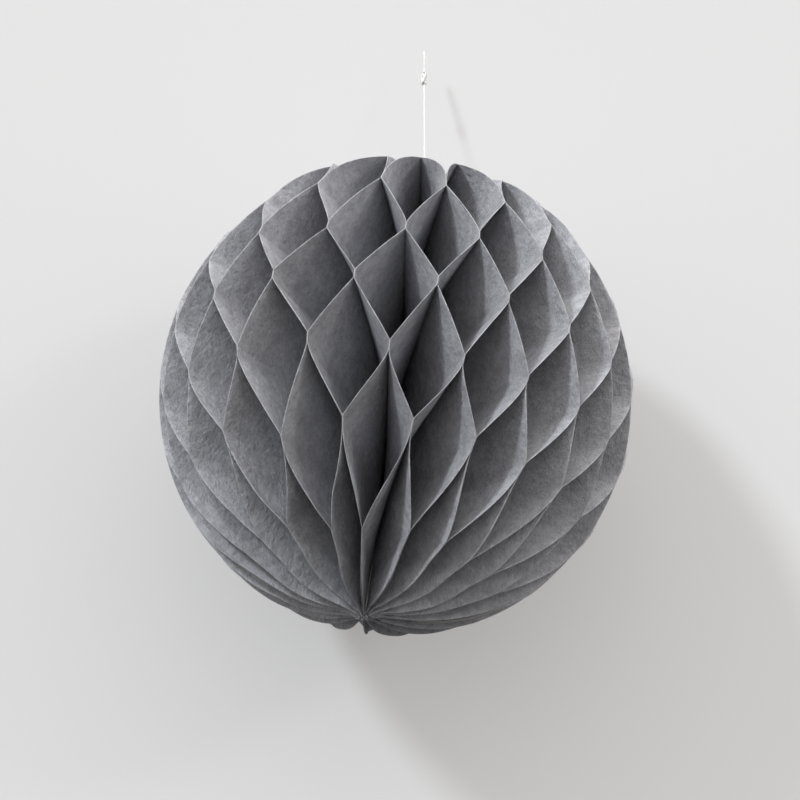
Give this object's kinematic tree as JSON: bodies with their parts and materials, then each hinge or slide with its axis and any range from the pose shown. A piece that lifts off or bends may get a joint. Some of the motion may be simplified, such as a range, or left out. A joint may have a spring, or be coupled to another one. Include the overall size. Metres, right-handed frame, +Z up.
{
  "type": "paper honeycomb ball",
  "caption": "Round tissue-paper honeycomb ball that hangs on a knotted thread and folds flat like a fan about its spine.",
  "frame": {"origin": "middle of the ball, on its spine, halfway between the poles, which is the middle of the box of everything but the hanging thread", "axes": "+Z up along the spine to the pole that the thread is tied to, -Y to the front; the two end cards meet 113.3 degrees round from the front, towards +X"},
  "size_m": [0.1993, 0.1991, 0.2863],
  "materials": {
    "tissue": "matte mid-grey tissue paper, faintly mottled",
    "card": "matte grey card",
    "thread": "twisted white cotton thread",
    "glue": "dried white glue"
  },
  "bodies": {
    "hanger": {"hanging_thread": "thread", "loop_knot": "thread", "hanging_loop": "thread"},
    "spine": {"binding_thread": "thread", "spine_glue": "glue", "top_knot": "thread", "bottom_knot": "thread", "fixed_end_card": "card", "closing_pad_1": "glue", "closing_pad_2": "glue", "closing_pad_3": "glue"},
    "closing_card": {"closing_end_card": "card"},
    "leaf_01": {"leaf_01": "tissue"},
    "leaf_02": {"leaf_02": "tissue"},
    "leaf_03": {"leaf_03": "tissue"},
    "leaf_04": {"leaf_04": "tissue"},
    "leaf_05": {"leaf_05": "tissue"},
    "leaf_06": {"leaf_06": "tissue"},
    "leaf_07": {"leaf_07": "tissue"},
    "leaf_08": {"leaf_08": "tissue"},
    "leaf_09": {"leaf_09": "tissue"},
    "leaf_10": {"leaf_10": "tissue"},
    "leaf_11": {"leaf_11": "tissue"},
    "leaf_12": {"leaf_12": "tissue"},
    "leaf_13": {"leaf_13": "tissue"},
    "leaf_14": {"leaf_14": "tissue"},
    "leaf_15": {"leaf_15": "tissue"},
    "leaf_16": {"leaf_16": "tissue"},
    "leaf_17": {"leaf_17": "tissue"},
    "leaf_18": {"leaf_18": "tissue"},
    "leaf_19": {"leaf_19": "tissue"},
    "leaf_20": {"leaf_20": "tissue"},
    "leaf_21": {"leaf_21": "tissue"},
    "leaf_22": {"leaf_22": "tissue"},
    "leaf_23": {"leaf_23": "tissue"},
    "leaf_24": {"leaf_24": "tissue"},
    "leaf_25": {"leaf_25": "tissue"},
    "leaf_26": {"leaf_26": "tissue"},
    "leaf_27": {"leaf_27": "tissue"},
    "leaf_28": {"leaf_28": "tissue"},
    "leaf_29": {"leaf_29": "tissue"},
    "leaf_30": {"leaf_30": "tissue"},
    "leaf_31": {"leaf_31": "tissue"},
    "leaf_32": {"leaf_32": "tissue"},
    "leaf_33": {"leaf_33": "tissue"},
    "leaf_34": {"leaf_34": "tissue"},
    "leaf_35": {"leaf_35": "tissue"},
    "leaf_36": {"leaf_36": "tissue"},
    "leaf_37": {"leaf_37": "tissue"},
    "leaf_38": {"leaf_38": "tissue"},
    "leaf_39": {"leaf_39": "tissue"},
    "leaf_40": {"leaf_40": "tissue"}
  },
  "joints": [
    {"name": "thread_swivel", "type": "hinge", "parent": "hanger", "child": "spine", "pos_m": [0, 0, 0.1], "axis": [0, 0, 1], "continuous": true},
    {"name": "fan_fold", "type": "hinge", "parent": "spine", "child": "closing_card", "pos_m": [0, 0, 0], "axis": [0, 0, 1], "range_deg": [-350, 0], "deforming": ["leaf_01", "leaf_02", "leaf_03", "leaf_04", "leaf_05", "leaf_06", "leaf_07", "leaf_08", "leaf_09", "leaf_10", "leaf_11", "leaf_12", "leaf_13", "leaf_14", "leaf_15", "leaf_16", "leaf_17", "leaf_18", "leaf_19", "leaf_20", "leaf_21", "leaf_22", "leaf_23", "leaf_24", "leaf_25", "leaf_26", "leaf_27", "leaf_28", "leaf_29", "leaf_30", "leaf_31", "leaf_32", "leaf_33", "leaf_34", "leaf_35", "leaf_36", "leaf_37", "leaf_38", "leaf_39", "leaf_40"]},
    {"name": "leaf_01_fold", "type": "hinge", "parent": "spine", "child": "leaf_01", "pos_m": [0, 0, 0], "axis": [0, 0, 1], "range_deg": [-4.38, 0]},
    {"name": "leaf_02_fold", "type": "hinge", "parent": "spine", "child": "leaf_02", "pos_m": [0, 0, 0], "axis": [0, 0, 1], "range_deg": [-13.12, 0]},
    {"name": "leaf_03_fold", "type": "hinge", "parent": "spine", "child": "leaf_03", "pos_m": [0, 0, 0], "axis": [0, 0, 1], "range_deg": [-21.88, 0]},
    {"name": "leaf_04_fold", "type": "hinge", "parent": "spine", "child": "leaf_04", "pos_m": [0, 0, 0], "axis": [0, 0, 1], "range_deg": [-30.62, 0]},
    {"name": "leaf_05_fold", "type": "hinge", "parent": "spine", "child": "leaf_05", "pos_m": [0, 0, 0], "axis": [0, 0, 1], "range_deg": [-39.38, 0]},
    {"name": "leaf_06_fold", "type": "hinge", "parent": "spine", "child": "leaf_06", "pos_m": [0, 0, 0], "axis": [0, 0, 1], "range_deg": [-48.12, 0]},
    {"name": "leaf_07_fold", "type": "hinge", "parent": "spine", "child": "leaf_07", "pos_m": [0, 0, 0], "axis": [0, 0, 1], "range_deg": [-56.88, 0]},
    {"name": "leaf_08_fold", "type": "hinge", "parent": "spine", "child": "leaf_08", "pos_m": [0, 0, 0], "axis": [0, 0, 1], "range_deg": [-65.62, 0]},
    {"name": "leaf_09_fold", "type": "hinge", "parent": "spine", "child": "leaf_09", "pos_m": [0, 0, 0], "axis": [0, 0, 1], "range_deg": [-74.38, 0]},
    {"name": "leaf_10_fold", "type": "hinge", "parent": "spine", "child": "leaf_10", "pos_m": [0, 0, 0], "axis": [0, 0, 1], "range_deg": [-83.12, 0]},
    {"name": "leaf_11_fold", "type": "hinge", "parent": "spine", "child": "leaf_11", "pos_m": [0, 0, 0], "axis": [0, 0, 1], "range_deg": [-91.88, 0]},
    {"name": "leaf_12_fold", "type": "hinge", "parent": "spine", "child": "leaf_12", "pos_m": [0, 0, 0], "axis": [0, 0, 1], "range_deg": [-100.62, 0]},
    {"name": "leaf_13_fold", "type": "hinge", "parent": "spine", "child": "leaf_13", "pos_m": [0, 0, 0], "axis": [0, 0, 1], "range_deg": [-109.38, 0]},
    {"name": "leaf_14_fold", "type": "hinge", "parent": "spine", "child": "leaf_14", "pos_m": [0, 0, 0], "axis": [0, 0, 1], "range_deg": [-118.12, 0]},
    {"name": "leaf_15_fold", "type": "hinge", "parent": "spine", "child": "leaf_15", "pos_m": [0, 0, 0], "axis": [0, 0, 1], "range_deg": [-126.88, 0]},
    {"name": "leaf_16_fold", "type": "hinge", "parent": "spine", "child": "leaf_16", "pos_m": [0, 0, 0], "axis": [0, 0, 1], "range_deg": [-135.62, 0]},
    {"name": "leaf_17_fold", "type": "hinge", "parent": "spine", "child": "leaf_17", "pos_m": [0, 0, 0], "axis": [0, 0, 1], "range_deg": [-144.38, 0]},
    {"name": "leaf_18_fold", "type": "hinge", "parent": "spine", "child": "leaf_18", "pos_m": [0, 0, 0], "axis": [0, 0, 1], "range_deg": [-153.12, 0]},
    {"name": "leaf_19_fold", "type": "hinge", "parent": "spine", "child": "leaf_19", "pos_m": [0, 0, 0], "axis": [0, 0, 1], "range_deg": [-161.88, 0]},
    {"name": "leaf_20_fold", "type": "hinge", "parent": "spine", "child": "leaf_20", "pos_m": [0, 0, 0], "axis": [0, 0, 1], "range_deg": [-170.62, 0]},
    {"name": "leaf_21_fold", "type": "hinge", "parent": "spine", "child": "leaf_21", "pos_m": [0, 0, 0], "axis": [0, 0, 1], "range_deg": [-179.38, 0]},
    {"name": "leaf_22_fold", "type": "hinge", "parent": "spine", "child": "leaf_22", "pos_m": [0, 0, 0], "axis": [0, 0, 1], "range_deg": [-188.12, 0]},
    {"name": "leaf_23_fold", "type": "hinge", "parent": "spine", "child": "leaf_23", "pos_m": [0, 0, 0], "axis": [0, 0, 1], "range_deg": [-196.88, 0]},
    {"name": "leaf_24_fold", "type": "hinge", "parent": "spine", "child": "leaf_24", "pos_m": [0, 0, 0], "axis": [0, 0, 1], "range_deg": [-205.62, 0]},
    {"name": "leaf_25_fold", "type": "hinge", "parent": "spine", "child": "leaf_25", "pos_m": [0, 0, 0], "axis": [0, 0, 1], "range_deg": [-214.38, 0]},
    {"name": "leaf_26_fold", "type": "hinge", "parent": "spine", "child": "leaf_26", "pos_m": [0, 0, 0], "axis": [0, 0, 1], "range_deg": [-223.12, 0]},
    {"name": "leaf_27_fold", "type": "hinge", "parent": "spine", "child": "leaf_27", "pos_m": [0, 0, 0], "axis": [0, 0, 1], "range_deg": [-231.88, 0]},
    {"name": "leaf_28_fold", "type": "hinge", "parent": "spine", "child": "leaf_28", "pos_m": [0, 0, 0], "axis": [0, 0, 1], "range_deg": [-240.62, 0]},
    {"name": "leaf_29_fold", "type": "hinge", "parent": "spine", "child": "leaf_29", "pos_m": [0, 0, 0], "axis": [0, 0, 1], "range_deg": [-249.38, 0]},
    {"name": "leaf_30_fold", "type": "hinge", "parent": "spine", "child": "leaf_30", "pos_m": [0, 0, 0], "axis": [0, 0, 1], "range_deg": [-258.12, 0]},
    {"name": "leaf_31_fold", "type": "hinge", "parent": "spine", "child": "leaf_31", "pos_m": [0, 0, 0], "axis": [0, 0, 1], "range_deg": [-266.88, 0]},
    {"name": "leaf_32_fold", "type": "hinge", "parent": "spine", "child": "leaf_32", "pos_m": [0, 0, 0], "axis": [0, 0, 1], "range_deg": [-275.62, 0]},
    {"name": "leaf_33_fold", "type": "hinge", "parent": "spine", "child": "leaf_33", "pos_m": [0, 0, 0], "axis": [0, 0, 1], "range_deg": [-284.38, 0]},
    {"name": "leaf_34_fold", "type": "hinge", "parent": "spine", "child": "leaf_34", "pos_m": [0, 0, 0], "axis": [0, 0, 1], "range_deg": [-293.12, 0]},
    {"name": "leaf_35_fold", "type": "hinge", "parent": "spine", "child": "leaf_35", "pos_m": [0, 0, 0], "axis": [0, 0, 1], "range_deg": [-301.88, 0]},
    {"name": "leaf_36_fold", "type": "hinge", "parent": "spine", "child": "leaf_36", "pos_m": [0, 0, 0], "axis": [0, 0, 1], "range_deg": [-310.62, 0]},
    {"name": "leaf_37_fold", "type": "hinge", "parent": "spine", "child": "leaf_37", "pos_m": [0, 0, 0], "axis": [0, 0, 1], "range_deg": [-319.38, 0]},
    {"name": "leaf_38_fold", "type": "hinge", "parent": "spine", "child": "leaf_38", "pos_m": [0, 0, 0], "axis": [0, 0, 1], "range_deg": [-328.12, 0]},
    {"name": "leaf_39_fold", "type": "hinge", "parent": "spine", "child": "leaf_39", "pos_m": [0, 0, 0], "axis": [0, 0, 1], "range_deg": [-336.88, 0]},
    {"name": "leaf_40_fold", "type": "hinge", "parent": "spine", "child": "leaf_40", "pos_m": [0, 0, 0], "axis": [0, 0, 1], "range_deg": [-345.62, 0]}
  ],
  "couplings": [
    {"joint": "leaf_01_fold", "follows": "fan_fold", "ratio": 0.0125},
    {"joint": "leaf_02_fold", "follows": "fan_fold", "ratio": 0.0375},
    {"joint": "leaf_03_fold", "follows": "fan_fold", "ratio": 0.0625},
    {"joint": "leaf_04_fold", "follows": "fan_fold", "ratio": 0.0875},
    {"joint": "leaf_05_fold", "follows": "fan_fold", "ratio": 0.1125},
    {"joint": "leaf_06_fold", "follows": "fan_fold", "ratio": 0.1375},
    {"joint": "leaf_07_fold", "follows": "fan_fold", "ratio": 0.1625},
    {"joint": "leaf_08_fold", "follows": "fan_fold", "ratio": 0.1875},
    {"joint": "leaf_09_fold", "follows": "fan_fold", "ratio": 0.2125},
    {"joint": "leaf_10_fold", "follows": "fan_fold", "ratio": 0.2375},
    {"joint": "leaf_11_fold", "follows": "fan_fold", "ratio": 0.2625},
    {"joint": "leaf_12_fold", "follows": "fan_fold", "ratio": 0.2875},
    {"joint": "leaf_13_fold", "follows": "fan_fold", "ratio": 0.3125},
    {"joint": "leaf_14_fold", "follows": "fan_fold", "ratio": 0.3375},
    {"joint": "leaf_15_fold", "follows": "fan_fold", "ratio": 0.3625},
    {"joint": "leaf_16_fold", "follows": "fan_fold", "ratio": 0.3875},
    {"joint": "leaf_17_fold", "follows": "fan_fold", "ratio": 0.4125},
    {"joint": "leaf_18_fold", "follows": "fan_fold", "ratio": 0.4375},
    {"joint": "leaf_19_fold", "follows": "fan_fold", "ratio": 0.4625},
    {"joint": "leaf_20_fold", "follows": "fan_fold", "ratio": 0.4875},
    {"joint": "leaf_21_fold", "follows": "fan_fold", "ratio": 0.5125},
    {"joint": "leaf_22_fold", "follows": "fan_fold", "ratio": 0.5375},
    {"joint": "leaf_23_fold", "follows": "fan_fold", "ratio": 0.5625},
    {"joint": "leaf_24_fold", "follows": "fan_fold", "ratio": 0.5875},
    {"joint": "leaf_25_fold", "follows": "fan_fold", "ratio": 0.6125},
    {"joint": "leaf_26_fold", "follows": "fan_fold", "ratio": 0.6375},
    {"joint": "leaf_27_fold", "follows": "fan_fold", "ratio": 0.6625},
    {"joint": "leaf_28_fold", "follows": "fan_fold", "ratio": 0.6875},
    {"joint": "leaf_29_fold", "follows": "fan_fold", "ratio": 0.7125},
    {"joint": "leaf_30_fold", "follows": "fan_fold", "ratio": 0.7375},
    {"joint": "leaf_31_fold", "follows": "fan_fold", "ratio": 0.7625},
    {"joint": "leaf_32_fold", "follows": "fan_fold", "ratio": 0.7875},
    {"joint": "leaf_33_fold", "follows": "fan_fold", "ratio": 0.8125},
    {"joint": "leaf_34_fold", "follows": "fan_fold", "ratio": 0.8375},
    {"joint": "leaf_35_fold", "follows": "fan_fold", "ratio": 0.8625},
    {"joint": "leaf_36_fold", "follows": "fan_fold", "ratio": 0.8875},
    {"joint": "leaf_37_fold", "follows": "fan_fold", "ratio": 0.9125},
    {"joint": "leaf_38_fold", "follows": "fan_fold", "ratio": 0.9375},
    {"joint": "leaf_39_fold", "follows": "fan_fold", "ratio": 0.9625},
    {"joint": "leaf_40_fold", "follows": "fan_fold", "ratio": 0.9875}
  ]
}
